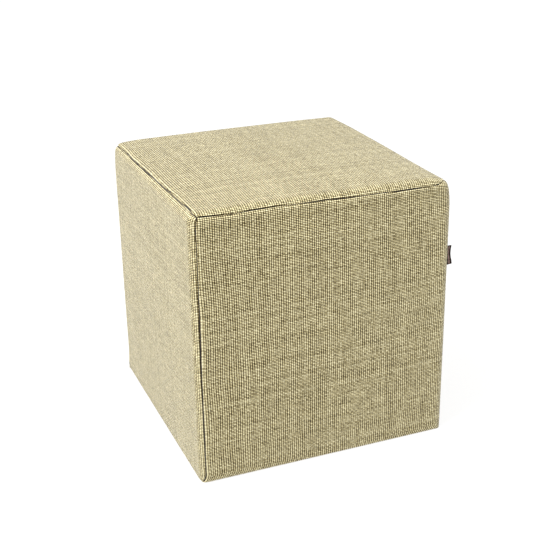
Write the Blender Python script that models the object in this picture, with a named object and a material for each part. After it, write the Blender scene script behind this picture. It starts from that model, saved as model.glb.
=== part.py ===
"""A cube pouf stool, in metres with +Z up. The origin is the middle of its base, its front faces -Y, and
its label tab stands out of the seam between the front (-Y) and the right side (+X).

Five cloth panels lie on one filled body, whose underside is the bottom panel. The outer surface is a
rounded block. Each panel is drawn on its own face, in distances rolled out from that face's middle, so
that a panel can roll over an edge of the block onto the next face. The seams are drawn the same way."""

from math import cos, pi, sin, sqrt

import bmesh
import bpy
import numpy as np

# The block that the cover is sewn to, measured where its flat walls are
WIDTH = 0.384
DEPTH = 0.394
HEIGHT = 0.397
EDGE_RADIUS = 0.0145
FOOT_RADIUS = 0.0064
FOOT_SQUARE = 0.186
FOOT_SQUARE_HEIGHT = 0.030
TOP_CROWN = 0.0060
SIDE_CROWN = 0.0030
CROWN_POWER = 2.4

# Cloth
CLOTH = 0.0025
GAP = 0.0005
WELD = 0.00002
GROOVE_DEPTH = 0.0012
GROOVE_WIDTH = 0.0022

# Distances in from a seam at which a panel has a row of points, up to its middle
STATIONS = (0.0, 0.003, 0.008, 0.013, 0.018, 0.028, 0.060, 0.120)

# Where the filling is soft under the top edge of a side, and how wide the soft strip is
TOP_SINK = {
    # side: ((share of the way along, sunk by), ...)
    "right": ((0.0, 0.0054), (0.12, 0.0054), (0.3, 0.0042), (0.5, 0.0022), (0.8, 0.0)),
    "left": ((0.0, 0.0034), (0.06, 0.0022), (0.2, 0.0)),
}
SINK_SPREAD = 0.024

# Label tab: a folded ribbon, open towards the seam. Its lower end stands out furthest
TAB_HEIGHT = 0.029
TAB_REACH = (
    # (share of the way up, reach)
    (0.0, 0.0080),
    (0.35, 0.0066),
    (0.65, 0.0060),
    (1.0, 0.0066),
)
TAB_MIDDLE = 0.2775
TAB_HALF_WIDTH = 0.0013
TAB_HALF_SLOT = 0.0004
TAB_ROOT = -0.0004
TAB_LEAN = 0.0011
TAB_ROWS = 4
TAB_ARC_STEPS = 6

LEAST = 1e-12  # keeps a division from failing where a length is nought
HALF = np.array([WIDTH, DEPTH, HEIGHT]) / 2
MIDDLE = np.array([0.0, 0.0, HEIGHT / 2])
CORE = HALF - EDGE_RADIUS
MID_ARC = EDGE_RADIUS * pi / 4

# Each face of the block: the way its rolled-out u, v and its outward normal point
FACES = {
    "front": np.array([(1, 0, 0), (0, 0, 1), (0, -1, 0)], float),
    "right": np.array([(0, 1, 0), (0, 0, 1), (1, 0, 0)], float),
    "back": np.array([(-1, 0, 0), (0, 0, 1), (0, 1, 0)], float),
    "left": np.array([(0, -1, 0), (0, 0, 1), (-1, 0, 0)], float),
    "top": np.array([(1, 0, 0), (0, 1, 0), (0, 0, 1)], float),
    "bottom": np.array([(1, 0, 0), (0, -1, 0), (0, 0, -1)], float),
}
SIDES = ("front", "right", "back", "left")

# The seam at the left edge of each side lies a little way onto that side, because the panel before it rolls
# round. turn is that distance from the middle of the rounded edge. top_rise and foot_rise say how far the
# seam's ends are above the middle of the rounded top edge, and above that of the bottom edge.
CORNERS = {
    # side: (top_turn, top_rise, foot_turn, foot_rise)
    "front": (0.0079, -0.0009, 0.0075, -0.0068),
    "right": (0.0011, 0.0062, 0.0075, -0.0068),
    "back": (0.0060, -0.0080, 0.0075, -0.0068),
    "left": (0.0050, -0.0005, 0.0070, -0.0068),
}

# How far the top seam strays from a straight line between its ends, along each side
TOP_SEAM_STRAY = {
    # side: ((share of the way along, rise), ...)
    "front": (
        (0.03, -0.0011),
        (0.07, -0.0022),
        (0.13, -0.0031),
        (0.20, -0.0028),
        (0.30, -0.0028),
        (0.42, -0.0041),
        (0.55, -0.0058),
        (0.70, -0.0074),
        (0.82, -0.0085),
        (0.90, -0.0085),
        (0.94, -0.0084),
        (0.965, -0.0070),
        (0.985, -0.0037),
    ),
    "right": ((0.02, -0.0035), (0.05, -0.0070), (0.3, -0.0075), (0.6, -0.0030), (0.9, -0.0010)),
    "back": ((0.1, -0.0020), (0.35, -0.0045), (0.7, -0.0060), (0.92, -0.0040)),
    "left": (
        (0.06, 0.0011),
        (0.15, 0.0016),
        (0.35, 0.0008),
        (0.46, 0.0012),
        (0.60, 0.0022),
        (0.74, 0.0025),
        (0.86, 0.0031),
        (0.92, 0.0038),
        (0.96, 0.0026),
    ),
}

# How far the upright seam at the left edge of each side strays towards the side before it
SIDE_SEAM_STRAY = {
    # side: ((share of the way up, stray), ...)
    "front": (
        (0.02, 0.0026),
        (0.05, 0.0040),
        (0.2, 0.0041),
        (0.4, 0.0039),
        (0.6, 0.0036),
        (0.8, 0.0032),
        (0.9, 0.0030),
        (0.955, 0.0031),
        (0.98, 0.0021),
    ),
    "right": (
        (0.15, -0.0009),
        (0.5, -0.0029),
        (0.85, -0.0051),
        (0.93, -0.0050),
        (0.955, -0.0045),
        (0.985, -0.0022),
    ),
    "back": ((0.15, 0.0006), (0.4, -0.0004), (0.6, 0.0007), (0.85, -0.0003)),
    "left": ((0.15, -0.0004), (0.4, 0.0006), (0.6, -0.0005), (0.85, 0.0005)),
}

COLOURS = {
    # material: (red, green, blue, roughness)
    "cover cloth": (0.47, 0.41, 0.28, 0.9),
    "label ribbon": (0.075, 0.040, 0.035, 0.8),
}


def roll(face, uv):
    """The rounded block's points and normals at distances rolled out from a face's middle."""
    axes = FACES[face]
    core = np.abs(axes @ CORE)
    inside = np.clip(uv, -core[:2], core[:2])
    over = uv - inside
    reach = np.hypot(over[:, 0], over[:, 1])
    way = over / np.maximum(reach, LEAST)[:, None]
    turn = np.minimum(reach / EDGE_RADIUS, pi / 2)
    normal = np.column_stack([way * np.sin(turn)[:, None], np.cos(turn)])
    drop = reach - turn * EDGE_RADIUS
    local = np.column_stack([inside, core[2] - drop]) + EDGE_RADIUS * normal
    return local @ axes + MIDDLE, normal @ axes


def unroll(face, points):
    """The distances rolled out from a face's middle at which these points of the block lie."""
    axes = FACES[face]
    core = np.abs(axes @ CORE)
    local = (points - MIDDLE) @ axes.T
    inside = np.clip(local, -core, core)
    normal = (local - inside) / EDGE_RADIUS
    flat = np.hypot(normal[:, 0], normal[:, 1])
    turn = np.arctan2(flat, normal[:, 2])
    way = normal[:, :2] / np.maximum(flat, LEAST)[:, None]
    drop = core[2] - inside[:, 2]
    return inside[:, :2] + way * (turn * EDGE_RADIUS + drop)[:, None]


def edge_middle(face):
    """u and v of the middle of the rounded edges of a face."""
    return np.abs(FACES[face] @ CORE)[:2] + MID_ARC


def after(side):
    return SIDES[(SIDES.index(side) + 1) % len(SIDES)]


def corner(side, level):
    """The block's point at which the seams meet, at the left end of a side's top or foot."""
    top_turn, top_rise, foot_turn, foot_rise = CORNERS[side]
    across, up = edge_middle(side)
    if level == "top":
        uv = (-across + top_turn, up + top_rise)
    else:
        uv = (-across + foot_turn, -up + foot_rise)
    return roll(side, np.array([uv]))[0]


def shares(length):
    """Where along a seam its points lie, as shares of its length, closest together near its ends."""
    near = np.array(STATIONS) / length
    return np.concatenate([near, [0.5], 1 - near[::-1]])


def seam(face, start, end, stray, length):
    """Points of the block along a seam, drawn on one face: a straight line with stray added across it."""
    first, last = unroll(face, start)[0], unroll(face, end)[0]
    at = shares(length)
    rows = np.array([(0.0, 0.0), *stray, (1.0, 0.0)])
    line = first + (last - first) * at[:, None]
    across = np.array([first[1] - last[1], last[0] - first[0]]) / np.linalg.norm(last - first)
    return roll(face, line + across * np.interp(at, rows[:, 0], rows[:, 1])[:, None])[0]


def all_seams():
    """Each seam's points on the block. A side seam runs up, and the others run on round the block."""
    found = {}
    for side in SIDES:
        wide, tall = 2 * edge_middle(side)
        foot, top = corner(side, "foot"), corner(side, "top")
        next_foot, next_top = corner(after(side), "foot"), corner(after(side), "top")
        found[side, "foot"] = seam(side, foot, next_foot, (), wide)
        found[side, "top"] = seam(side, top, next_top, TOP_SEAM_STRAY[side], wide)
        found[side, "side"] = seam(side, foot, top, SIDE_SEAM_STRAY[side], tall)
    return found


def border(face, seams):
    """The four seams round a face, as (low v, high v, low u, high u), each running up its u or v."""
    if face == "top":
        front, right, back, left = (seams[side, "top"] for side in SIDES)
        return front, back[::-1], left[::-1], right
    if face == "bottom":
        front, right, back, left = (seams[side, "foot"] for side in SIDES)
        return back[::-1], front, left, right[::-1]
    return seams[face, "foot"], seams[face, "top"], seams[face, "side"], seams[after(face), "side"]


def drawn_in(lines, by):
    """Border lines moved in from their seams by a small distance, so that panels don't touch."""
    moved = [line.copy() for line in lines]
    inward = []
    for line, turn in zip(lines, (1, -1, -1, 1)):
        ahead = np.gradient(line, axis=0)
        ahead /= np.linalg.norm(ahead, axis=1)[:, None]
        inward.append(turn * np.column_stack([-ahead[:, 1], ahead[:, 0]]))
    for line, ways in zip(moved, inward):
        line[1:-1] += by * ways[1:-1]
    for level, upright, start, end in ((0, 2, 0, 0), (0, 3, -1, 0), (1, 2, 0, -1), (1, 3, -1, -1)):
        step = np.linalg.solve([inward[level][start], inward[upright][end]], [by, by])
        moved[level][start] += step
        moved[upright][end] += step
    return moved


def patch(face, seams, inset):
    """A face's grid between its four seams: rolled-out places, and each one's shares across and up."""
    lines = drawn_in([unroll(face, line) for line in border(face, seams)], inset)
    low, high, left, right = lines
    wide, tall = 2 * edge_middle(face)
    s = shares(wide)[:, None, None]
    t = shares(tall)[None, :, None]
    between = low[:, None] * (1 - t) + high[:, None] * t + left[None] * (1 - s) + right[None] * s
    low_ends = low[0] * (1 - s) + low[-1] * s
    high_ends = high[0] * (1 - s) + high[-1] * s
    return between - low_ends * (1 - t) - high_ends * t, s[..., 0], t[..., 0]


def foot_shape(points):
    """Squares up the foot: the rounded block's bottom edge is drawn out to a smaller radius, and so are its
    upright corners close to it."""
    z = np.clip(points[:, 2:3], 0, None)
    beyond = np.clip(np.abs(points[:, :2]) - CORE[:2], 0, None)
    diagonal = 2 * beyond.prod(axis=1) / np.maximum((beyond**2).sum(axis=1), LEAST)
    share = FOOT_SQUARE * diagonal[:, None] ** 2 * np.exp(-((z / FOOT_SQUARE_HEIGHT) ** 2))
    flat = points[:, :2] + np.sign(points[:, :2]) * beyond * share

    def inset(radius):
        under = np.clip(radius - z, 0, radius)
        return radius - np.sqrt(radius**2 - under**2)

    stretch = (HALF[:2] - inset(FOOT_RADIUS)) / (HALF[:2] - inset(EDGE_RADIUS))
    return np.column_stack([flat * stretch, points[:, 2]])


def sink_edges(points):
    """Moves the points along the top edges in towards the block's middle, where the filling is soft."""
    moved = points.copy()
    for side, rows in TOP_SINK.items():
        along, _, out = FACES[side]
        half_length, half_span = np.abs(along @ HALF), np.abs(out @ HALF)
        share = (points @ along + half_length) / (2 * half_length)
        sunk = np.interp(share, *np.array(rows).T)
        away = np.hypot(points @ out - half_span, points[:, 2] - HEIGHT) / SINK_SPREAD
        inward = -(out + FACES["top"][2]) / sqrt(2)
        moved += inward * (sunk * np.exp(-(away**2)))[:, None]
    return moved


def surface(face, seams, inset=0.0, below=0.0, groove=0.0):
    """A face's grid of points, this far under the crowned outer surface, with its seams drawn in."""
    uv, s, t = patch(face, seams, inset)
    points, normals = roll(face, uv.reshape(-1, 2))
    crown = {"top": TOP_CROWN, "bottom": 0.0}.get(face, SIDE_CROWN)
    swell = crown * (1 - np.abs(2 * s - 1) ** CROWN_POWER) * (1 - np.abs(2 * t - 1) ** CROWN_POWER)
    wide, tall = 2 * edge_middle(face)
    near = np.minimum(wide * np.minimum(s, 1 - s), tall * np.minimum(t, 1 - t))
    dip = groove * np.exp(-((near / GROOVE_WIDTH) ** 2))
    shaped = sink_edges(foot_shape(points))
    moved = shaped + normals * (swell - dip - below).reshape(-1, 1)
    return moved.reshape(*uv.shape[:2], 3)


def add_grid(mesh, grid, inside_out=False):
    """Adds a grid of points facing its normal, and returns its border's vertices, once round. Each of its
    quads is split the same way on every layer, so that the layers keep an even gap."""
    rows = [[mesh.verts.new(point) for point in column] for column in grid.tolist()]
    for column, following in zip(rows, rows[1:]):
        for i in range(len(column) - 1):
            for half in (
                (column[i], following[i], following[i + 1]),
                (column[i], following[i + 1], column[i + 1]),
            ):
                mesh.faces.new(half[::-1] if inside_out else half)
    return border_of(rows)


def border_of(rows):
    """The border of a table of rows, once round, anticlockwise about its normal."""
    low = [column[0] for column in rows]
    high = [column[-1] for column in rows]
    return low[:-1] + rows[-1][:-1] + high[:0:-1] + rows[0][:0:-1]


def bridge(mesh, outer, under):
    """Quads from a border to the one under it, facing out from the grid's middle."""
    for i, vertex in enumerate(outer):
        mesh.faces.new((outer[i - 1], under[i - 1], under[i], vertex))


def material(name):
    red, green, blue, roughness = COLOURS[name]
    made = bpy.data.materials.new(name)
    made.use_nodes = True
    shader = made.node_tree.nodes["Principled BSDF"]
    shader.inputs["Base Color"].default_value = (red, green, blue, 1)
    shader.inputs["Roughness"].default_value = roughness
    return made


def add_object(name, shape, surface_material):
    """Turns a bmesh into an object of the scene."""
    mesh = bpy.data.meshes.new(name)
    shape.to_mesh(mesh)
    shape.free()
    mesh.materials.append(surface_material)
    mesh.shade_smooth()
    mesh.set_sharp_from_angle(angle=pi / 4)
    made = bpy.data.objects.new(name, mesh)
    bpy.context.scene.collection.objects.link(made)
    return made


def add_panel(face, seams, cloth):
    """One cloth panel: its outer and inner grids, joined round their borders."""
    shape = bmesh.new()
    outer = add_grid(shape, surface(face, seams, inset=GAP / 2, groove=GROOVE_DEPTH))
    inner = add_grid(shape, surface(face, seams, inset=GAP / 2, below=CLOTH), inside_out=True)
    bridge(shape, outer, inner)
    return add_object(f"{face}_panel", shape, cloth)


def add_body(seams, cloth):
    """The filled body under the panels. Its bottom grid is the bottom panel, flush with the side panels'
    feet, and a narrow ledge joins it to the walls that the side panels lie on."""
    shape = bmesh.new()
    for face in (*SIDES, "top"):
        add_grid(shape, surface(face, seams, below=CLOTH + GAP))
    base = add_grid(shape, surface("bottom", seams, inset=GAP / 2))
    wall_foot = border_of(surface("bottom", seams, below=CLOTH + GAP).tolist())
    bridge(shape, base, [shape.verts.new(point) for point in wall_foot])
    bmesh.ops.remove_doubles(shape, verts=shape.verts, dist=WELD)
    return add_object("body", shape, cloth)


def tab_outline(reach):
    """The folded ribbon's outline, as (out from the seam, across it): round its outside, then back inside.
    reach is how far it stands out."""
    bend = reach - TAB_HALF_WIDTH
    turns = [pi * (i / TAB_ARC_STEPS - 0.5) for i in range(TAB_ARC_STEPS + 1)]
    outside = [(bend + TAB_HALF_WIDTH * cos(a), TAB_HALF_WIDTH * sin(a)) for a in turns]
    inside = [(bend + TAB_HALF_SLOT * cos(a), TAB_HALF_SLOT * sin(a)) for a in reversed(turns)]
    return [
        (TAB_ROOT, -TAB_HALF_WIDTH),
        *outside,
        (TAB_ROOT, TAB_HALF_WIDTH),
        (TAB_ROOT, TAB_HALF_SLOT),
        *inside,
        (TAB_ROOT, -TAB_HALF_SLOT),
    ]


def add_tab(seams, ribbon):
    """The label tab, standing out of the seam at the left edge of the right side, and leaning back."""
    line = seams["right", "side"]
    up = np.arange(TAB_ROWS + 1) / TAB_ROWS
    heights = TAB_MIDDLE + TAB_HEIGHT * (up - 0.5)
    foot = np.column_stack([np.interp(heights, line[:, 2], line[:, axis]) for axis in range(3)])
    points, outs = roll("right", unroll("right", foot))
    reaches = np.interp(up, *np.array(TAB_REACH).T)
    shape = bmesh.new()
    rings = []
    for point, out, reach in zip(points, outs, reaches):
        across = np.array([-out[1], out[0], 0.0])
        ring = []
        for away, side in tab_outline(reach):
            lean = TAB_LEAN * (max(away, 0) / reach) ** 2
            ring.append(shape.verts.new(point + out * away + across * (side + lean)))
        rings.append(ring)
    for low, high in zip(rings, rings[1:]):
        for i in range(len(low)):
            shape.faces.new((low[i - 1], low[i], high[i], high[i - 1]))
    shape.faces.new(rings[0][::-1])
    shape.faces.new(rings[-1])
    return add_object("label_tab", shape, ribbon)


def clear_scene():
    for old in list(bpy.data.objects):
        bpy.data.objects.remove(old)


def main():
    clear_scene()
    cloth = material("cover cloth")
    seams = all_seams()
    for face in (*SIDES, "top"):
        add_panel(face, seams, cloth)
    add_body(seams, cloth)
    add_tab(seams, material("label ribbon"))


main()
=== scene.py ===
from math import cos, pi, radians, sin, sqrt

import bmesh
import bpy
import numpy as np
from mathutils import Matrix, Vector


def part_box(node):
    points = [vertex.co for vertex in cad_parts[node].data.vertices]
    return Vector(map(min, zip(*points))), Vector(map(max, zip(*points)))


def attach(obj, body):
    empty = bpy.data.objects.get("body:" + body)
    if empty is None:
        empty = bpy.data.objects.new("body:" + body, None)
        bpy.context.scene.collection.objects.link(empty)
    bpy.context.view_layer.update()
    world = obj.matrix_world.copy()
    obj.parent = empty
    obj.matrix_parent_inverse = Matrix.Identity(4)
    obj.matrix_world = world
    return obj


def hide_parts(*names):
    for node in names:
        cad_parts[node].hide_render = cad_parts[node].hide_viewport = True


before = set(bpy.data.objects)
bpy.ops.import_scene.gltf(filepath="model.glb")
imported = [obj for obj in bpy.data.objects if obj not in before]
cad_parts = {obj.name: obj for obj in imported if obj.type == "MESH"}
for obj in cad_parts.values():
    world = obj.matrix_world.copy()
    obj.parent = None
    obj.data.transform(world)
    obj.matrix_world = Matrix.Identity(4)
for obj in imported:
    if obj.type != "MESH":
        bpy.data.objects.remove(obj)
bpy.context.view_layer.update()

# A cube pouf stool: five cloth panels sewn together over a filled block, and a ribbon tab in one seam.
# Everything is in metres, +Z up, with the front facing -Y.
#
# The cover is drawn as it is cut. Each face of the block has a flat chart, and a place (u, v) on it is a
# distance rolled out from the face's middle, so that a panel can roll over an edge onto the next face.
# Seams are lines on these charts, a panel is the patch between four of them, and its relief is the lip
# where the cloth turns into a seam, the ridge of the seam allowance under it, puckers and the crown.

# The block
EDGE_RADIUS = 0.0145
FOOT_RADIUS = 0.0042
FOOT_SQUARE = 0.186
FOOT_SQUARE_HEIGHT = 0.030
TOP_CROWN = 0.0060
SIDE_CROWN = 0.0030
CROWN_POWER = 2.4
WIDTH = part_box("right_panel")[1][0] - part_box("left_panel")[0][0] - 2 * SIDE_CROWN
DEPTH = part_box("back_panel")[1][1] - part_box("front_panel")[0][1] - 2 * SIDE_CROWN
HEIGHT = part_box("top_panel")[1][2] - TOP_CROWN

# Cloth and seams
CLOTH = 0.0025
GAP = 0.0004
LIP = 0.0022
LIP_ROWS = 5
WANDER = 0.00022
WANDER_WAVES = (4.3, 9.7)
WANDER_SECOND = 0.7
WELD = 0.00002

# Strips of a panel in from its seams, out to half its length
STRIPS = (
    # (strip's far side, rows of points in it, rows of them that the hidden layers have)
    (0.003, 2, 1),
    (0.008, 4, 1),
    (0.013, 3, 1),
    (0.018, 3, 1),
    (0.028, 4, 2),
    (0.060, 12, 4),
    (0.120, 24, 6),
)
MIDDLE_ROWS = (28, 7)

LEAST = 1e-12  # keeps a division from failing where a length is nought
HALF = np.array([WIDTH, DEPTH, HEIGHT]) / 2
MIDDLE = np.array([0.0, 0.0, HEIGHT / 2])
CORE = HALF - EDGE_RADIUS
MID_ARC = EDGE_RADIUS * pi / 4

# Each face of the block: the way its u, v and its outward normal point
FACES = {
    "front": np.array([(1, 0, 0), (0, 0, 1), (0, -1, 0)], float),
    "right": np.array([(0, 1, 0), (0, 0, 1), (1, 0, 0)], float),
    "back": np.array([(-1, 0, 0), (0, 0, 1), (0, 1, 0)], float),
    "left": np.array([(0, -1, 0), (0, 0, 1), (-1, 0, 0)], float),
    "top": np.array([(1, 0, 0), (0, 1, 0), (0, 0, 1)], float),
    "bottom": np.array([(1, 0, 0), (0, -1, 0), (0, 0, -1)], float),
}
SIDES = ("front", "right", "back", "left")

# Where the seam at the left edge of each side ends, from the middle of the rounded edges there
CORNERS = {
    # side: (top_turn, top_rise, foot_turn, foot_rise)
    "front": (0.0079, -0.0009, 0.0034, -0.0068),
    "right": (0.0011, 0.0062, 0.0075, -0.0068),
    "back": (0.0060, -0.0080, 0.0075, -0.0068),
    "left": (0.0050, -0.0005, 0.0070, -0.0068),
}

# How far the seams stray from a straight line between their ends
TOP_SEAM_STRAY = {
    # side: ((share of the way along, rise), ...)
    "front": (
        (0.03, -0.0011),
        (0.07, -0.0022),
        (0.13, -0.0031),
        (0.20, -0.0028),
        (0.30, -0.0028),
        (0.42, -0.0041),
        (0.55, -0.0058),
        (0.70, -0.0074),
        (0.82, -0.0085),
        (0.90, -0.0085),
        (0.94, -0.0084),
        (0.965, -0.0070),
        (0.985, -0.0037),
    ),
    "right": ((0.02, -0.0035), (0.05, -0.0070), (0.3, -0.0075), (0.6, -0.0030), (0.9, -0.0010)),
    "back": ((0.1, -0.0020), (0.35, -0.0045), (0.7, -0.0060), (0.92, -0.0040)),
    "left": (
        (0.06, 0.0011),
        (0.15, 0.0016),
        (0.35, 0.0008),
        (0.46, 0.0012),
        (0.60, 0.0022),
        (0.74, 0.0025),
        (0.86, 0.0031),
        (0.92, 0.0038),
        (0.96, 0.0026),
    ),
}

# How far the upright seam at the left edge of each side strays towards the side before it
SIDE_SEAM_STRAY = {
    # side: ((share of the way up, stray), ...)
    "front": (
        (0.2, 0.0008),
        (0.4, 0.0014),
        (0.6, 0.0019),
        (0.8, 0.0024),
        (0.9, 0.0026),
        (0.955, 0.0029),
        (0.98, 0.0020),
    ),
    "right": (
        (0.15, -0.0009),
        (0.5, -0.0029),
        (0.85, -0.0051),
        (0.93, -0.0050),
        (0.955, -0.0045),
        (0.985, -0.0022),
    ),
    "back": ((0.15, 0.0006), (0.4, -0.0004), (0.6, 0.0007), (0.85, -0.0003)),
    "left": ((0.15, -0.0004), (0.4, 0.0006), (0.6, -0.0005), (0.85, 0.0005)),
}

# Where the filling is soft under the top edge of a side, and how wide the soft strip is
TOP_SINK = {
    # side: ((share of the way along, sunk by), ...)
    "right": ((0.0, 0.0054), (0.12, 0.0054), (0.3, 0.0042), (0.5, 0.0022), (0.8, 0.0)),
    "left": ((0.0, 0.0034), (0.06, 0.0022), (0.2, 0.0)),
}
SINK_SPREAD = 0.024

# The ridge that the seam allowance makes under each edge of a panel
RIDGES = {
    # face: (at low v, at high v, at low u, at high u)
    "front": (0.0003, 0.0007, 0.0007, 0.0003),
    "right": (0.0003, 0.0003, 0.0003, 0.0003),
    "back": (0.0003, 0.0004, 0.0004, 0.0003),
    "left": (0.0003, 0.0003, 0.0003, 0.0002),
    "top": (0.0003, 0.0003, 0.0003, 0.0003),
    "bottom": (0.0, 0.0, 0.0, 0.0),
}
RIDGE_PLACE = 0.0042
RIDGE_SPREAD = 0.0036

# Puckers along the seams, and the slow unevenness of the filling
PUCKER = 0.00022
PUCKER_PITCH = 0.0096
PUCKER_FADE = 0.0065
PUCKER_SHIFT = 1.6
PUCKER_SHIFT_PITCH = 0.047
UNEVEN = (
    # (height, waves per metre in u, waves per metre in v, turn at the middle)
    (0.00030, 5.1, 2.3, 0.4),
    (0.00022, -3.7, 6.9, 1.9),
    (0.00012, 11.3, 8.1, 3.1),
    (0.00008, -17.9, 13.7, 5.2),
)
UNEVEN_FADE = 0.030


def smooth(rows, at):
    """A smooth line through rows of (place, value), read at these places."""
    place, value = np.array(rows, float).T
    slope = np.gradient(value, place)
    at = np.clip(at, place[0], place[-1])
    i = np.clip(np.searchsorted(place, at) - 1, 0, len(place) - 2)
    step = place[i + 1] - place[i]
    t = (at - place[i]) / step
    rising = t**2 * (3 - 2 * t)
    bend = step * t * (1 - t) * ((1 - t) * slope[i] - t * slope[i + 1])
    return value[i] * (1 - rising) + value[i + 1] * rising + bend


def roll(face, uv):
    """The rounded block's points and normals at places on a face's chart."""
    axes = FACES[face]
    core = np.abs(axes @ CORE)
    inside = np.clip(uv, -core[:2], core[:2])
    over = uv - inside
    reach = np.hypot(over[:, 0], over[:, 1])
    way = over / np.maximum(reach, LEAST)[:, None]
    turn = np.minimum(reach / EDGE_RADIUS, pi / 2)
    normal = np.column_stack([way * np.sin(turn)[:, None], np.cos(turn)])
    drop = reach - turn * EDGE_RADIUS
    local = np.column_stack([inside, core[2] - drop]) + EDGE_RADIUS * normal
    return local @ axes + MIDDLE, normal @ axes


def unroll(face, points):
    """The places on a face's chart at which these points of the block lie."""
    axes = FACES[face]
    core = np.abs(axes @ CORE)
    local = (points - MIDDLE) @ axes.T
    inside = np.clip(local, -core, core)
    normal = (local - inside) / EDGE_RADIUS
    flat = np.hypot(normal[:, 0], normal[:, 1])
    turn = np.arctan2(flat, normal[:, 2])
    way = normal[:, :2] / np.maximum(flat, LEAST)[:, None]
    drop = core[2] - inside[:, 2]
    return inside[:, :2] + way * (turn * EDGE_RADIUS + drop)[:, None]


def edge_middle(face):
    """u and v of the middle of the rounded edges of a face."""
    return np.abs(FACES[face] @ CORE)[:2] + MID_ARC


def after(side):
    return SIDES[(SIDES.index(side) + 1) % len(SIDES)]


def corner(side, level):
    """The block's point at which the seams meet, at the left end of a side's top or foot."""
    top_turn, top_rise, foot_turn, foot_rise = CORNERS[side]
    across, up = edge_middle(side)
    if level == "top":
        uv = (-across + top_turn, up + top_rise)
    else:
        uv = (-across + foot_turn, -up + foot_rise)
    return roll(side, np.array([uv]))[0]


def shares(length, fine):
    """Where along a seam its points lie, as shares of its length, closest together near its ends."""
    near = [0.0]
    if fine:
        near += [LIP * (1 - cos(pi / 2 * i / LIP_ROWS)) for i in range(1, LIP_ROWS + 1)]
    for far, *rows in (*STRIPS, (length / 2, *MIDDLE_ROWS)):
        near += list(np.linspace(near[-1], far, rows[0 if fine else 1] + 1)[1:])
    near = np.array(near) / length
    return np.concatenate([near, 1 - near[-2::-1]])


def wander(at, turn):
    """The sewer's small wander off the line, along a seam."""
    slow, quick = WANDER_WAVES
    waves = sin(turn) * np.sin(2 * pi * slow * at + turn)
    waves += WANDER_SECOND * np.sin(2 * pi * quick * at + 2 * turn)
    return WANDER * waves * np.sin(pi * at)


def seam(face, start, end, stray, length, fine):
    """Points of the block along a seam, drawn on one face: a straight line with stray added across it."""
    first, last = unroll(face, start)[0], unroll(face, end)[0]
    at = shares(length, fine)
    line = first + (last - first) * at[:, None]
    across = np.array([first[1] - last[1], last[0] - first[0]]) / np.linalg.norm(last - first)
    off = smooth([(0.0, 0.0), *stray, (1.0, 0.0)], at) + wander(at, 1.0 + SIDES.index(face))
    return roll(face, line + across * off[:, None])[0]


def all_seams(fine):
    """Each seam's points on the block. A side seam runs up, and the others run on round the block."""
    found = {}
    for side in SIDES:
        wide, tall = 2 * edge_middle(side)
        foot, top = corner(side, "foot"), corner(side, "top")
        next_foot, next_top = corner(after(side), "foot"), corner(after(side), "top")
        found[side, "foot"] = seam(side, foot, next_foot, (), wide, fine)
        found[side, "top"] = seam(side, top, next_top, TOP_SEAM_STRAY[side], wide, fine)
        found[side, "side"] = seam(side, foot, top, SIDE_SEAM_STRAY[side], tall, fine)
    return found


SEAMS = {fine: all_seams(fine) for fine in (True, False)}


def border(face, fine):
    """The four seams round a face, as (low v, high v, low u, high u), each running up its u or v."""
    seams = SEAMS[fine]
    if face == "top":
        front, right, back, left = (seams[side, "top"] for side in SIDES)
        return front, back[::-1], left[::-1], right
    if face == "bottom":
        front, right, back, left = (seams[side, "foot"] for side in SIDES)
        return back[::-1], front, left, right[::-1]
    return seams[face, "foot"], seams[face, "top"], seams[face, "side"], seams[after(face), "side"]


def drawn_in(lines, by):
    """Border lines moved in from their seams by a small distance, so that panels don't touch."""
    moved = [line.copy() for line in lines]
    inward = []
    for line, turn in zip(lines, (1, -1, -1, 1)):
        ahead = np.gradient(line, axis=0)
        ahead /= np.linalg.norm(ahead, axis=1)[:, None]
        inward.append(turn * np.column_stack([-ahead[:, 1], ahead[:, 0]]))
    for line, ways in zip(moved, inward):
        line[1:-1] += by * ways[1:-1]
    for level, upright, start, end in ((0, 2, 0, 0), (0, 3, -1, 0), (1, 2, 0, -1), (1, 3, -1, -1)):
        step = np.linalg.solve([inward[level][start], inward[upright][end]], [by, by])
        moved[level][start] += step
        moved[upright][end] += step
    return moved


def patch(face, fine, inset):
    """A face's grid between its four seams: places on its chart, and each one's shares across and up."""
    low, high, left, right = drawn_in([unroll(face, line) for line in border(face, fine)], inset)
    wide, tall = 2 * edge_middle(face)
    s = shares(wide, fine)[:, None, None]
    t = shares(tall, fine)[None, :, None]
    between = low[:, None] * (1 - t) + high[:, None] * t + left[None] * (1 - s) + right[None] * s
    low_ends = low[0] * (1 - s) + low[-1] * s
    high_ends = high[0] * (1 - s) + high[-1] * s
    return between - low_ends * (1 - t) - high_ends * t, s[..., 0], t[..., 0]


def foot_shape(points):
    """Squares up the foot: the rounded block's bottom edge is drawn out to a smaller radius, and so is the
    upright corner at the back left. The other upright corners stay as round at the foot as above it."""
    z = np.clip(points[:, 2:3], 0, None)

    def inset(radius):
        under = np.clip(radius - z, 0, radius)
        return radius - np.sqrt(radius**2 - under**2)

    stretch = (HALF[:2] - inset(FOOT_RADIUS)) / (HALF[:2] - inset(EDGE_RADIUS))
    flat = points[:, :2] * stretch
    beyond = np.clip(np.abs(flat) - CORE[:2], 0, None)
    reach = np.hypot(beyond[:, 0], beyond[:, 1])[:, None]
    diagonal = 2 * beyond.prod(axis=1)[:, None] / np.maximum(reach**2, LEAST)
    back_left = (points[:, 0:1] < 0) & (points[:, 1:2] > 0)
    square = 1 + FOOT_SQUARE * back_left * diagonal**2 * np.exp(-((z / FOOT_SQUARE_HEIGHT) ** 2))
    rounded = square * np.minimum(1, EDGE_RADIUS / np.maximum(reach, LEAST))
    shift = beyond * (np.where(diagonal > 0, rounded, 1) - 1)
    return np.column_stack([flat + np.sign(flat) * shift, points[:, 2]])


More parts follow.
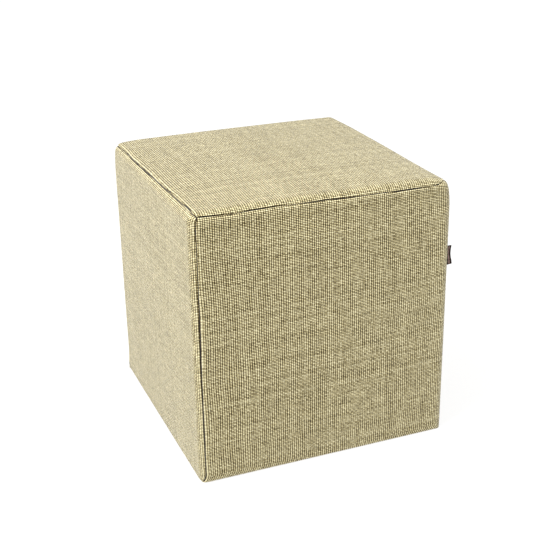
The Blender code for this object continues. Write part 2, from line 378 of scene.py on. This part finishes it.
def sink_edges(points):
    """Moves the points along the top edges in towards the block's middle, where the filling is soft."""
    moved = points.copy()
    for side, rows in TOP_SINK.items():
        along, _, out = FACES[side]
        half_length, half_span = np.abs(along @ HALF), np.abs(out @ HALF)
        share = (points @ along + half_length) / (2 * half_length)
        away = np.hypot(points @ out - half_span, points[:, 2] - HEIGHT) / SINK_SPREAD
        inward = -(out + FACES["top"][2]) / sqrt(2)
        moved += inward * (smooth(rows, share) * np.exp(-(away**2)))[:, None]
    return moved


def turned_in(near):
    """How far the cloth has turned down into a seam, at this distance from it."""
    left = LIP - np.minimum(near, LIP)
    return LIP - np.sqrt(LIP**2 - left**2)


def relief(face, uv, s, t):
    """How far the finished cloth stands out from the block: lip, ridges, puckers and unevenness."""
    wide, tall = 2 * edge_middle(face)
    across, up = wide * s + 0 * t, tall * t + 0 * s
    edges = ((up, across), (tall - up, across), (across, up), (wide - across, up))
    raised = np.zeros_like(across)
    for turn, (ridge, (away, along)) in enumerate(zip(RIDGES[face], edges)):
        raised += ridge * np.exp(-(((away - RIDGE_PLACE) / RIDGE_SPREAD) ** 2))
        shift = PUCKER_SHIFT * np.sin(2 * pi * along / PUCKER_SHIFT_PITCH + turn)
        phase = 2 * pi * along / PUCKER_PITCH + shift
        raised -= PUCKER * (0.5 + 0.5 * np.sin(phase)) * np.exp(-away / PUCKER_FADE)
    near = np.minimum(np.minimum(up, tall - up), np.minimum(across, wide - across))
    if face != "bottom":
        slow = sum(
            height * np.sin(2 * pi * (in_u * uv[..., 0] + in_v * uv[..., 1]) + turn)
            for height, in_u, in_v, turn in UNEVEN
        )
        raised += slow * (1 - np.exp(-((near / UNEVEN_FADE) ** 2)))
    return raised - turned_in(near)


def surface(face, fine=False, inset=0.0, below=0.0):
    """A face's grid of points and of places on its chart, and their shares across and up. A fine grid is
    the finished outside, and the others lie this far under the plain crowned block."""
    uv, s, t = patch(face, fine, inset)
    points, normals = roll(face, uv.reshape(-1, 2))
    crown = {"top": TOP_CROWN, "bottom": 0.0}.get(face, SIDE_CROWN)
    swell = crown * (1 - np.abs(2 * s - 1) ** CROWN_POWER) * (1 - np.abs(2 * t - 1) ** CROWN_POWER)
    out = swell + (relief(face, uv, s, t) if fine else -below)
    moved = sink_edges(foot_shape(points)) + normals * out.reshape(-1, 1)
    return moved, uv, np.stack([s + 0 * t, t + 0 * s], axis=-1)


class Layers:
    """A closed mesh put together from grids of points and the strips that join their borders. Faces that
    show come first. places holds each point's place on the uncut cloth, and shares that in its grid."""

    def __init__(self):
        self.points, self.places, self.shares, self.faces = [], [], [], []
        self.shown = 0

    def add_grid(self, grid, inside_out=False, shown=False):
        """Adds a grid from surface(), and returns its border's point numbers, once round."""
        points, uv, shares_of = grid
        columns, rows = uv.shape[:2]
        number = len(self.points) + np.arange(columns * rows).reshape(columns, rows)
        self.points += points.tolist()
        self.places += uv.reshape(-1, 2).tolist()
        self.shares += shares_of.reshape(-1, 2).tolist()
        quads = np.stack([number[:-1, :-1], number[1:, :-1], number[1:, 1:], number[:-1, 1:]], axis=-1)
        quads = quads.reshape(-1, 4)
        self.faces += (quads[:, ::-1] if inside_out else quads).tolist()
        if shown:
            self.shown = len(self.faces)
        return np.concatenate([number[:-1, 0], number[-1, :-1], number[:0:-1, -1], number[0, :0:-1]])

    def join(self, outer, under):
        """Faces from a border to the one under it, which has the same points or some of them."""
        places = np.array(self.shares)
        apart = np.linalg.norm(places[outer][None] - places[under][:, None], axis=2)
        marks = apart.argmin(axis=1)
        for i in range(len(under)):
            first, last = marks[i - 1], marks[i] if marks[i] > 0 else len(outer)
            run = outer[np.arange(last, first, -1) % len(outer)].tolist()
            self.faces.append([int(outer[first]), int(under[i - 1]), int(under[i]), *run])


MAP_EDGE = 0.01
MAP_SHARES = (0.93, 0.98)
HIDDEN_PLACE = (0.95, 0.0)
HIDDEN_SHARES = (0.03, 0.98)


def add_piece(name, layers, finish, offset):
    """Turns layers into an object. Its map cut_cloth is in metres on the uncut cloth, from offset, and its
    map OFBake fills a square with what shows, and a narrow strip beside it with what doesn't."""
    mesh = bpy.data.meshes.new(name)
    mesh.from_pydata(layers.points, [], layers.faces)
    corner_point = np.array([number for face in layers.faces for number in face])
    face_of = np.repeat(np.arange(len(layers.faces)), [len(face) for face in layers.faces])
    share = np.array(layers.shares)[corner_point]
    outer = MAP_EDGE + share * MAP_SHARES
    hidden = MAP_EDGE + share * HIDDEN_SHARES + HIDDEN_PLACE
    maps = {
        "cut_cloth": np.array(layers.places)[corner_point] + offset,
        "OFBake": np.where((face_of < layers.shown)[:, None], outer, hidden),
    }
    for map_name, places in maps.items():
        layer = mesh.uv_layers.new(name=map_name, do_init=False)
        layer.uv.foreach_set("vector", places.astype(np.float32).ravel())
    mesh.materials.append(finish)
    mesh.shade_smooth()
    piece = bpy.data.objects.new(name, mesh)
    bpy.context.scene.collection.objects.link(piece)
    return piece


class Value:
    """A number that changes over a surface. Sums written with it add the nodes that work them out."""

    def __init__(self, finish, socket):
        self.finish, self.socket = finish, socket

    def math(self, operation, *others):
        return self.finish.node("ShaderNodeMath", {"operation": operation}, (self, *others))

    def __add__(self, other):
        return self.math("ADD", other)

    def __sub__(self, other):
        return self.math("SUBTRACT", other)

    def __mul__(self, other):
        return self.math("MULTIPLY", other)

    def __truediv__(self, other):
        return self.math("DIVIDE", other)

    def __pow__(self, other):
        return self.math("POWER", other)

    def __rsub__(self, other):
        return self.math("MULTIPLY_ADD", -1, other)

    __radd__ = __add__
    __rmul__ = __mul__


class Finish:
    """A material being put together. given are values of its shader's own sockets."""

    def __init__(self, name, given):
        self.material = bpy.data.materials.new(name)
        self.material.use_nodes = True
        self.nodes = self.material.node_tree.nodes
        self.links = self.material.node_tree.links
        self.shader = self.nodes["Principled BSDF"]
        for socket, value in given.items():
            self.shader.inputs[socket].default_value = value

    def fill(self, node, sockets):
        """Sets or links a node's sockets, from values in order or from values by name."""
        named = sockets.items() if isinstance(sockets, dict) else enumerate(sockets)
        for key, value in named:
            if isinstance(value, Value):
                self.links.new(value.socket, node.inputs[key])
            else:
                node.inputs[key].default_value = value

    def node(self, kind, settings, sockets, output=0):
        """A new node's output. Settings come first, a ramp's stops among them."""
        node = self.nodes.new(kind)
        for key, value in settings.items():
            if key == "stops":
                stops = node.color_ramp.elements
                while len(stops) < len(value):
                    stops.new(0.5)
                for stop, (place, colour) in zip(stops, value):
                    stop.position, stop.color = place, (*colour, 1)
            else:
                setattr(node, key, value)
        self.fill(node, sockets)
        return Value(self, node.outputs[output])

    def finish(self, **sockets):
        """Links the shader's sockets and returns the material."""
        self.fill(self.shader, {name.replace("_", " "): value for name, value in sockets.items()})
        return self.material

    def places(self, map_name):
        """u and v of a map."""
        place = self.node("ShaderNodeUVMap", {"uv_map": map_name}, ())
        return [self.node("ShaderNodeSeparateXYZ", {}, (place,), output=axis) for axis in (0, 1)]

    def grain(self, x, y, detail=1.0):
        """Soft random change, mostly from -1 to 1, with one bump to each unit of x and y."""
        place = self.node("ShaderNodeCombineXYZ", {}, (x, y))
        found = self.node(
            "ShaderNodeTexNoise",
            {"noise_dimensions": "2D"},
            {"Vector": place, "Scale": 1.0, "Detail": detail},
        )
        return found * 4 - 2

    def chance(self, index):
        """A random number from 0 to 1 for each whole number."""
        return self.node("ShaderNodeTexWhiteNoise", {"noise_dimensions": "1D"}, {"W": index})

    def limit(self, value, low=0.0, high=1.0):
        return self.node("ShaderNodeClamp", {}, (value, low, high))

    def ramp(self, value, stops):
        return self.node("ShaderNodeValToRGB", {"stops": stops}, (value,))


# The weave: upright warps and slubby wefts, crossing over and under by turns
WARP_PITCH = 0.0032
WEFT_PITCH = 0.00225
WARP_WIDTH = 0.92
WEFT_WIDTH = 0.82
SLUB_SWELL = 0.12
WAVE_SHARE = 0.72
PANEL_SPAN = 0.39
# How far in from a seam the painted shade of its groove reaches, and where the painted highlight on the
# lip's crown lies and how wide it is
SEAM_SHADOW = 0.0012
LIP_CROWN = 0.0034
LIP_CROWN_SPREAD = 0.0014
GRAINS = {
    # what it changes: (bumps a metre across, start, bumps a metre up, detail, strength)
    "warp drift": (9, 0, 9, 1.0, 0.35),
    "warp bend": (70, 0, 22, 1.0, 0.10),
    "weft drift": (7, 31, 9, 1.0, 0.4),
    "weft bend": (34, 0, 90, 1.0, 0.12),
    "fibres": (2600, 0, 2600, 2.0, 0.06),
    "flecks": (130, 0, 330, 2.0, 0.11),
    "clouds": (28, 0, 60, 2.0, 0.015),
}
THREAD_SHADES = {
    # thread: (by chance, by its slubs)
    "warp": (0.14, 0.04),
    "weft": (0.20, 0.06),
}
# How the colour follows each: the thread's height (painted shade in the gaps, painted highlight on the
# crowns), a plain offset, the painted highlight on the seam lips, the painted shade in the seam grooves and
# the painted shade between the weft rows
HEIGHT_PAINTED_LIGHT = 0.97
PLAIN_TONE = 0.135
LIP_PAINTED_HIGHLIGHT = 0.12
GROOVE_PAINTED_SHADE = 0.65
ROW_PAINTED_SHADE = 0.22
FIBRE_BUMP = 0.6
CLOTH_SHEEN = {
    "Specular IOR Level": 0.2,
    "Sheen Weight": 0.42,
    "Sheen Roughness": 0.4,
    "Sheen Tint": (1.0, 0.98, 0.92, 1),
}
CLOTH_SHADES = (
    # (place, colour), from the painted shade in the gaps between the threads to the painted highlight on
    # their crowns
    (0.0, (0.010, 0.005, 0.001)),
    (0.34, (0.045, 0.029, 0.006)),
    (0.51, (0.30, 0.225, 0.075)),
    (0.68, (0.86, 0.735, 0.385)),
    (1.0, (1.0, 0.955, 0.68)),
)


def cloth_grain(finish, name):
    """One of the cloth's soft random changes."""
    across, start, up, detail, strength = GRAINS[name]
    u, v = finish.places("cut_cloth")
    return finish.grain(u * across + start, v * up, detail) * strength


def thread(finish, side, width, slub, wave):
    """A thread's height, from its rounded section and its wave over and under the others."""
    width = slub * SLUB_SWELL + width
    section = finish.limit(1 - (side * 2 / width) ** 2) ** 0.5
    return section * (wave * WAVE_SHARE + (1 - WAVE_SHARE))


def weave(finish):
    """The plain weave's height, the colour shade of the thread on top, and the painted shade between its
    rows.
    """
    u, v = finish.places("cut_cloth")
    across = u / WARP_PITCH + cloth_grain(finish, "warp drift") + cloth_grain(finish, "warp bend")
    up = v / WEFT_PITCH + cloth_grain(finish, "weft drift") + cloth_grain(finish, "weft bend")
    warp, weft = across.math("FLOOR"), up.math("FLOOR")
    warp_side, weft_side = across - warp - 0.5, up - weft - 0.5
    warp_wave = (up * pi).math("SINE") * (warp * pi).math("COSINE")
    weft_wave = (across * pi).math("SINE") * (weft * pi).math("COSINE") * -1
    warp_slub = finish.grain(warp * 17.31, up * 0.25)
    weft_slub = finish.grain(across * 0.16, weft * 19.7, detail=2.0)
    warp_height = thread(finish, warp_side, WARP_WIDTH, warp_slub, warp_wave)
    weft_height = thread(finish, weft_side, WEFT_WIDTH, weft_slub, weft_wave)
    on_top = warp_height.math("GREATER_THAN", weft_height)
    by_chance, by_slub = THREAD_SHADES["warp"]
    warp_shade = finish.chance(warp) * by_chance + warp_slub * by_slub
    by_chance, by_slub = THREAD_SHADES["weft"]
    weft_shade = finish.chance(weft + 500.5) * by_chance + weft_slub * by_slub
    height = finish.limit(warp_height.math("MAXIMUM", weft_height))
    shade = warp_shade * on_top + weft_shade * (1 - on_top)
    # The last of these is the painted shade between the weft rows
    return height, shade, (weft_side.math("ABSOLUTE") * 2) ** 3


def painted_seam_shade_and_highlight(finish):
    """Painted shade in the groove at a panel's edge, and a painted highlight on the crown of the lip beside
    it.
    """
    s, t = finish.places("OFBake")
    s, t = (s - MAP_EDGE) / MAP_SHARES[0], (t - MAP_EDGE) / MAP_SHARES[1]
    middle_out = (s - 0.5).math("ABSOLUTE").math("MAXIMUM", (t - 0.5).math("ABSOLUTE"))
    from_seam = (0.5 - middle_out) * PANEL_SPAN
    # Painted shade in the groove next to the seam
    groove_painted_shade = finish.limit(1 - from_seam / SEAM_SHADOW)
    # Painted highlight along the crown of the lip
    lip_painted_highlight = (((from_seam - LIP_CROWN) / LIP_CROWN_SPREAD) ** 2 * -1).math("EXPONENT")
    return groove_painted_shade, lip_painted_highlight


def cover_cloth():
    """Coarse plain-woven cloth, with painted shade in its gaps, between its weft rows and in its seam
    grooves, and painted highlights on its thread crowns and seam lips.
    """
    finish = Finish("cover cloth", CLOTH_SHEEN)
    height, shade, rows = weave(finish)
    groove_painted_shade, lip_painted_highlight = painted_seam_shade_and_highlight(finish)
    fibres = cloth_grain(finish, "fibres")
    # The colour follows the weave's height: painted shade in the gaps between threads, painted highlight on
    # their crowns
    tone = height * HEIGHT_PAINTED_LIGHT + shade - PLAIN_TONE
    tone = tone + fibres + cloth_grain(finish, "flecks") + cloth_grain(finish, "clouds")
    # Painted highlight on the seam lips, painted shade in the seam grooves and between the weft rows
    tone = tone + lip_painted_highlight * LIP_PAINTED_HIGHLIGHT - groove_painted_shade * GROOVE_PAINTED_SHADE - rows * ROW_PAINTED_SHADE
    colour = finish.ramp(finish.limit(tone), CLOTH_SHADES)
    bump = finish.node(
        "ShaderNodeBump",
        {},
        {"Strength": 0.8, "Distance": 0.0008, "Height": height + fibres * FIBRE_BUMP},
    )
    return finish.finish(Base_Color=colour, Roughness=1.0 - height * 0.2, Normal=bump)


RIBBON_RIB = 0.00055
RIBBON_THREAD = 0.0008
# Where the paler stripe, a painted highlight, lies out from the fold, and how wide it is
RIBBON_STRIPE_PLACE = 0.0050
RIBBON_STRIPE = 0.0013
RIBBON_EDGE = 0.0012
RIBBON_LENGTH = 0.0190
RIBBON_WIDTH = 0.0290
RIBBON_SHADES = (
    # (place, colour), from its woven edges and the painted shade in its furrows to the painted highlight of
    # its middle stripe
    (0.0, (0.006, 0.002, 0.001)),
    (0.35, (0.030, 0.014, 0.010)),
    (0.9, (0.36, 0.24, 0.22)),
)


def label_ribbon():
    """Plain dark ribbon with darker woven edges, painted shade in its rib furrows, a paler stripe down its
    middle that is a painted highlight, and no lettering.
    """
    finish = Finish(
        "label ribbon",
        {"Specular IOR Level": 0.2, "Sheen Weight": 0.05, "Sheen Roughness": 0.3},
    )
    u, v = finish.places("cut_cloth")
    rib = (v * (2 * pi / RIBBON_RIB)).math("SINE") * 0.5 + 0.5
    cross = (u * (2 * pi / RIBBON_THREAD)).math("SINE") * 0.5 + 0.5
    weave = rib * 0.6 + cross * 0.4 + finish.grain(u * 900, v * 400) * 0.12
    from_fold = (u - RIBBON_LENGTH / 2).math("ABSOLUTE")
    # The paler stripe: a painted highlight where the loop's face catches light
    stripe_painted_highlight = finish.limit(1 - ((from_fold - RIBBON_STRIPE_PLACE) / RIBBON_STRIPE) ** 2)
    from_edge = RIBBON_WIDTH / 2 - (v - RIBBON_WIDTH / 2).math("ABSOLUTE")
    edge = finish.limit(1 - from_edge / RIBBON_EDGE)
    # The rib's furrows darken the colour as painted shade
    tone = finish.limit(weave * 0.3 + stripe_painted_highlight * 0.6 - edge * 0.5 + finish.grain(u * 300, v * 160) * 0.12)
    colour = finish.ramp(tone, RIBBON_SHADES)
    bump = finish.node(
        "ShaderNodeBump", {}, {"Strength": 0.5, "Distance": 0.0002, "Height": weave}
    )
    return finish.finish(Base_Color=colour, Roughness=0.75 - weave * 0.2, Normal=bump)


def panel_offset(face):
    """Where on the uncut cloth a face's middle lies."""
    return np.array([0.61, 0.57]) * (1 + list(FACES).index(face))


def add_panel(face, finish):
    """One cloth panel: its finished outside, and a plain inner layer on the body."""
    layers = Layers()
    outer = layers.add_grid(surface(face, fine=True, inset=GAP / 2), shown=True)
    inner = layers.add_grid(surface(face, inset=GAP / 2, below=CLOTH), inside_out=True)
    layers.join(outer, inner)
    piece = add_piece(f"{face}_cloth", layers, finish, panel_offset(face))
    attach(piece, "root")
    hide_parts(f"{face}_panel")
    low, high, left, right = (line_length(unroll(face, line)) for line in border(face, True))
    return piece


def line_length(line):
    return float(np.linalg.norm(np.diff(line, axis=0), axis=1).sum())


def add_body(finish):
    """The filled body: the finished bottom panel underneath, and plain walls under the other panels."""
    layers = Layers()
    base = layers.add_grid(surface("bottom", fine=True, inset=GAP / 2), shown=True)
    under = CLOTH + GAP
    for side in (*SIDES, "top"):
        layers.add_grid(surface(side, below=under))
    foot = surface("bottom", below=under)
    ring = layers.add_grid(foot)
    # The foot grid only lends its border
    del layers.faces[-(foot[1].shape[0] - 1) * (foot[1].shape[1] - 1):]
    layers.join(base, ring)
    piece = add_piece("filled_body", layers, finish, panel_offset("bottom"))
    weld(piece)
    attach(piece, "root")
    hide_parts("body")
    return piece


def weld(piece):
    """Joins points that lie together, and drops those that no face uses."""
    shape = bmesh.new()
    shape.from_mesh(piece.data)
    loose = [point for point in shape.verts if not point.link_faces]
    bmesh.ops.delete(shape, geom=loose, context="VERTS")
    bmesh.ops.remove_doubles(shape, verts=shape.verts, dist=WELD)
    shape.to_mesh(piece.data)
    shape.free()


# The ribbon tab: a short ribbon folded in half, with its ends sewn into the front right seam
TAB_LOW, TAB_HIGH = (np.array(corner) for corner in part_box("label_tab"))
TAB_THICK = 0.0007
TAB_REACH = (
    # (share of the way up, how far it stands out)
    (0.0, 0.0081),
    (0.2, 0.0075),
    (0.4, 0.0063),
    (0.6, 0.0056),
    (0.8, 0.0059),
    (1.0, 0.0068),
)
TAB_SWAY = (
    # (share of the way up, how far it sways towards the back)
    (0.0, 0.0004),
    (0.3, 0.0009),
    (0.6, 0.0004),
    (1.0, 0.0010),
)
TAB_ROOT = 0.0016
TAB_GAPE = 0.0005
TAB_ROWS = 48
TAB_BEND_ROWS = 10
TAB_LEG_ROWS = 8
TAB_END_RISE = 0.0019
TAB_CURL = 0.0003
TAB_PINCH = 0.45
TAB_MIDDLE = (0.0066, 0.0006)


def tab_line(reach, sway):
    """The middle of the ribbon's thickness, as (out, across), from one root round the fold to the other."""
    bend = TAB_GAPE + TAB_THICK / 2
    legs = np.linspace(-TAB_ROOT, reach - bend - TAB_THICK / 2, TAB_LEG_ROWS)
    turns = np.linspace(-pi / 2, pi / 2, TAB_BEND_ROWS)[1:-1]
    fold = np.column_stack([legs[-1] + bend * np.cos(turns), bend * np.sin(turns)])
    pinch = bend * (TAB_PINCH + (1 - TAB_PINCH) * np.clip(legs / legs[-1], 0, 1) ** 0.7)
    near = np.column_stack([legs, -pinch])
    far = np.column_stack([legs, pinch])[::-1]
    line = np.concatenate([near, fold, far])
    line[:, 1] += sway * (np.clip(line[:, 0], 0, None) / reach) ** 2
    return line


def tab_grid(side, up, points, outs):
    """The points of one face of the ribbon, 1 or -1, with a row for each share of the way up."""
    reaches, sways = smooth(TAB_REACH, up), smooth(TAB_SWAY, up)
    rows = []
    for share, point, out, reach, sway in zip(up, points, outs, reaches, sways):
        line = tab_line(reach, sway)
        ahead = np.gradient(line, axis=0)
        ahead /= np.linalg.norm(ahead, axis=1)[:, None]
        line = line + side * TAB_THICK / 2 * np.column_stack([ahead[:, 1], -ahead[:, 0]])
        across = np.array([-out[1], out[0], 0.0])
        place = point + line[:, :1] * out + line[:, 1:] * across
        place[:, 2] += TAB_END_RISE * (line[:, 0] / reach) * (1 - share) ** 3
        place += across * TAB_CURL * sin(2 * pi * share) * np.clip(line[:, :1] / reach, 0, 1)
        rows.append(place)
    return np.array(rows)


def add_tab(finish):
    """The folded ribbon, with its thickness and its cut ends, a little wavy and curled."""
    seam_line = SEAMS[True]["right", "side"]
    up = np.linspace(0, 1, TAB_ROWS + 1)
    heights = TAB_LOW[2] + (TAB_HIGH[2] - TAB_LOW[2]) * up
    foot = np.column_stack([np.interp(heights, seam_line[:, 2], seam_line[:, axis]) for axis in range(3)])
    points, outs = roll("right", unroll("right", foot))
    steps = np.linalg.norm(np.diff(tab_line(*TAB_MIDDLE), axis=0), axis=1)
    along = np.concatenate([[0], np.cumsum(steps)])
    uv = np.stack(np.meshgrid(along, heights - heights[0]), axis=-1)
    s = np.stack(np.meshgrid(along / along[-1], up), axis=-1)
    layers = Layers()
    rings = []
    for side, inside_out in ((1, False), (-1, True)):
        # A grid runs first along the ribbon's length, so that it faces out
        grid = tab_grid(side, up, points, outs)
        ordered = grid.transpose(1, 0, 2).reshape(-1, 3), uv.transpose(1, 0, 2), s.transpose(1, 0, 2)
        rings.append(layers.add_grid(ordered, inside_out, shown=not inside_out))
    layers.join(*rings)
    piece = add_piece("ribbon_tab", layers, finish, np.zeros(2))
    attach(piece, "root")
    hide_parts("label_tab")
    return piece


# The camera
CAMERA_AZIMUTH = -21.589
CAMERA_ELEVATION = 22.088
CAMERA_ROLL = -1.071
CAMERA_DISTANCE = 1.6459
CAMERA_LENS = 71.05
CAMERA_SENSOR = 36
CAMERA_FAR = 60
CAMERA_AIM = (-0.00308, 0.00801, 0.21555)


def add_camera():
    a, e, r = radians(CAMERA_AZIMUTH), radians(CAMERA_ELEVATION), radians(CAMERA_ROLL)
    back = Vector((sin(a) * cos(e), -cos(a) * cos(e), sin(e)))
    level = Vector((cos(a), sin(a), 0))
    upright = back.cross(level)
    right = level * cos(r) + upright * sin(r)
    up = upright * cos(r) - level * sin(r)
    camera = bpy.data.objects.new("camera", bpy.data.cameras.new("camera"))
    camera.data.lens = CAMERA_LENS
    camera.data.sensor_width = CAMERA_SENSOR
    camera.data.clip_end = CAMERA_FAR
    place = Vector(CAMERA_AIM) + back * CAMERA_DISTANCE
    camera.matrix_world = Matrix.Translation(place) @ Matrix((right, up, back)).transposed().to_4x4()
    bpy.context.scene.collection.objects.link(camera)
    bpy.context.scene.camera = camera


def add_light(name, place, size, power, colour):
    """A square soft light aimed at the stool's middle."""
    light = bpy.data.lights.new(name, "AREA")
    light.shape = "SQUARE"
    light.size, light.energy, light.color = size, power, colour
    lamp = bpy.data.objects.new(name, light)
    lamp.location = place
    lamp.rotation_euler = (Vector(MIDDLE) - Vector(place)).to_track_quat("-Z", "Y").to_euler()
    bpy.context.scene.collection.objects.link(lamp)


SURROUND = 1.06
FLOOR_SHADE = 0.25
FLOOR_GLOW = 0.78
FLOOR_REACH = 12.0
KEY_PLACE = (-1.66, -0.50, 2.89)
KEY_SIZE = 1.2
KEY_POWER = 81.0
KEY_COLOUR = (1.0, 0.99, 0.96)


def add_studio():
    """A pale floor that runs to the horizon, a white surround and a soft light from the left."""
    world = bpy.data.worlds.new("studio")
    bpy.context.scene.world = world
    world.use_nodes = True
    surround = world.node_tree.nodes["Background"]
    surround.inputs["Color"].default_value = (1, 1, 1, 1)
    surround.inputs["Strength"].default_value = SURROUND
    mesh = bpy.data.meshes.new("floor")
    ways = ((-1, -1), (1, -1), (1, 1), (-1, 1))
    mesh.from_pydata([(x * FLOOR_REACH, y * FLOOR_REACH, 0) for x, y in ways], [], [(0, 1, 2, 3)])
    floor = bpy.data.objects.new("floor", mesh)
    bpy.context.scene.collection.objects.link(floor)
    given = {
        "Base Color": (FLOOR_SHADE, FLOOR_SHADE, FLOOR_SHADE, 1),
        "Roughness": 1.0,
        "Specular IOR Level": 0.0,
        "Emission Color": (1, 1, 1, 1),
        "Emission Strength": FLOOR_GLOW,
    }
    mesh.materials.append(Finish("pale floor", given).material)
    add_light("key", KEY_PLACE, KEY_SIZE, KEY_POWER, KEY_COLOUR)
    bpy.context.scene.view_settings.view_transform = "Standard"


add_camera()
add_studio()
cloth = cover_cloth()
body = add_body(cloth)
for face in (*SIDES, "top"):
    add_panel(face, cloth)

add_tab(label_ribbon())
